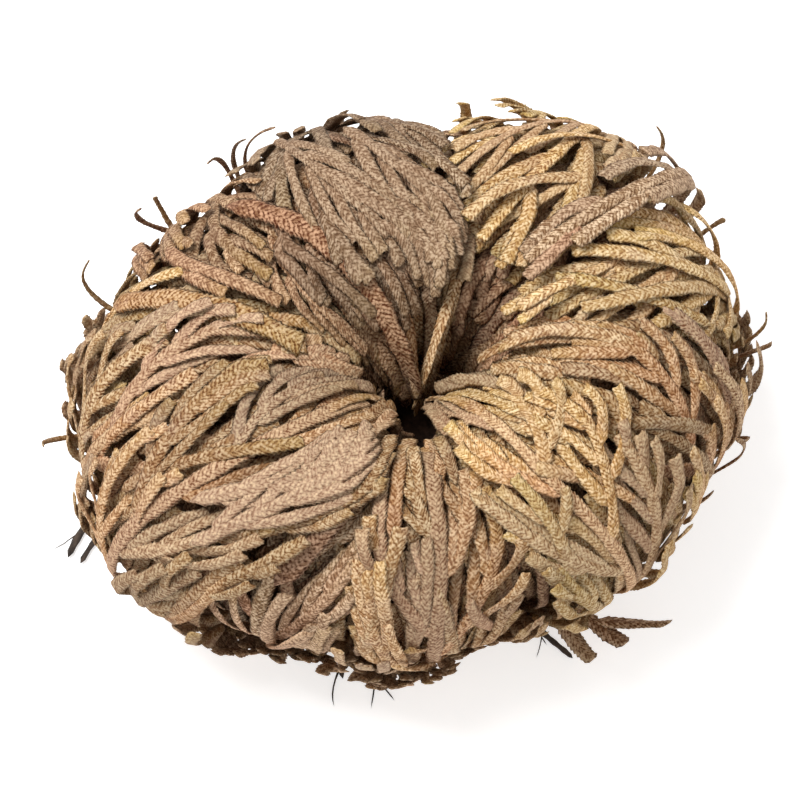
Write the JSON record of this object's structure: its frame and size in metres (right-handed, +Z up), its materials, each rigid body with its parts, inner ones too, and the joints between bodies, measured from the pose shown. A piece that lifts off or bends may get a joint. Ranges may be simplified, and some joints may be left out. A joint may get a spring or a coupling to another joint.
{
  "type": "rose of jericho",
  "caption": "Dried rose of Jericho: leafy fronds of a clubmoss curled up and in over a central hollow, on a short rootstock that stands on its flat mat of roots.",
  "frame": {"origin": "middle of the root mat's flat underside, on the rootstock's axis", "axes": "+Z up out of the surface, +X along the ball's longest side, -Y towards the front"},
  "size_m": [0.0953, 0.0804, 0.0556],
  "materials": {
    "frond_grey": "matt, grey-brown dead scale leaves",
    "frond_tan": "matt, dry tan scale leaves",
    "frond_straw": "matt, dry straw-yellow scale leaves",
    "frond_russet": "matt, dry reddish-brown scale leaves",
    "rootstock": "rough dark brown bark",
    "roots": "matt dark fibres"
  },
  "bodies": {
    "root": {"rootstock": "rootstock", "root_mat": "roots", "frond_outer_01": "frond_grey", "frond_outer_02": "frond_grey", "frond_outer_03": "frond_grey", "frond_outer_04": "frond_grey", "frond_outer_05": "frond_grey", "frond_outer_06": "frond_grey", "frond_outer_07": "frond_grey", "frond_outer_08": "frond_grey", "frond_outer_09": "frond_grey", "frond_outer_10": "frond_grey", "frond_outer_11": "frond_grey", "frond_outer_12": "frond_grey", "frond_outer_13": "frond_grey", "frond_outer_14": "frond_grey", "frond_main_01": "frond_tan", "frond_main_02": "frond_straw", "frond_main_03": "frond_grey", "frond_main_04": "frond_straw", "frond_main_05": "frond_tan", "frond_main_06": "frond_grey", "frond_main_07": "frond_russet", "frond_main_08": "frond_straw", "frond_main_09": "frond_straw", "frond_main_10": "frond_tan", "frond_main_11": "frond_tan", "frond_main_12": "frond_grey", "frond_main_13": "frond_tan", "frond_main_14": "frond_tan", "frond_main_15": "frond_russet", "frond_main_16": "frond_straw", "frond_main_17": "frond_tan", "frond_inner_01": "frond_russet", "frond_inner_02": "frond_russet", "frond_inner_03": "frond_russet", "frond_inner_04": "frond_russet", "frond_inner_05": "frond_russet", "frond_inner_06": "frond_russet", "frond_inner_07": "frond_russet", "frond_heart_01": "frond_russet", "frond_heart_02": "frond_russet", "frond_heart_03": "frond_russet", "frond_heart_04": "frond_russet", "frond_heart_05": "frond_russet"}
  },
  "joints": []
}
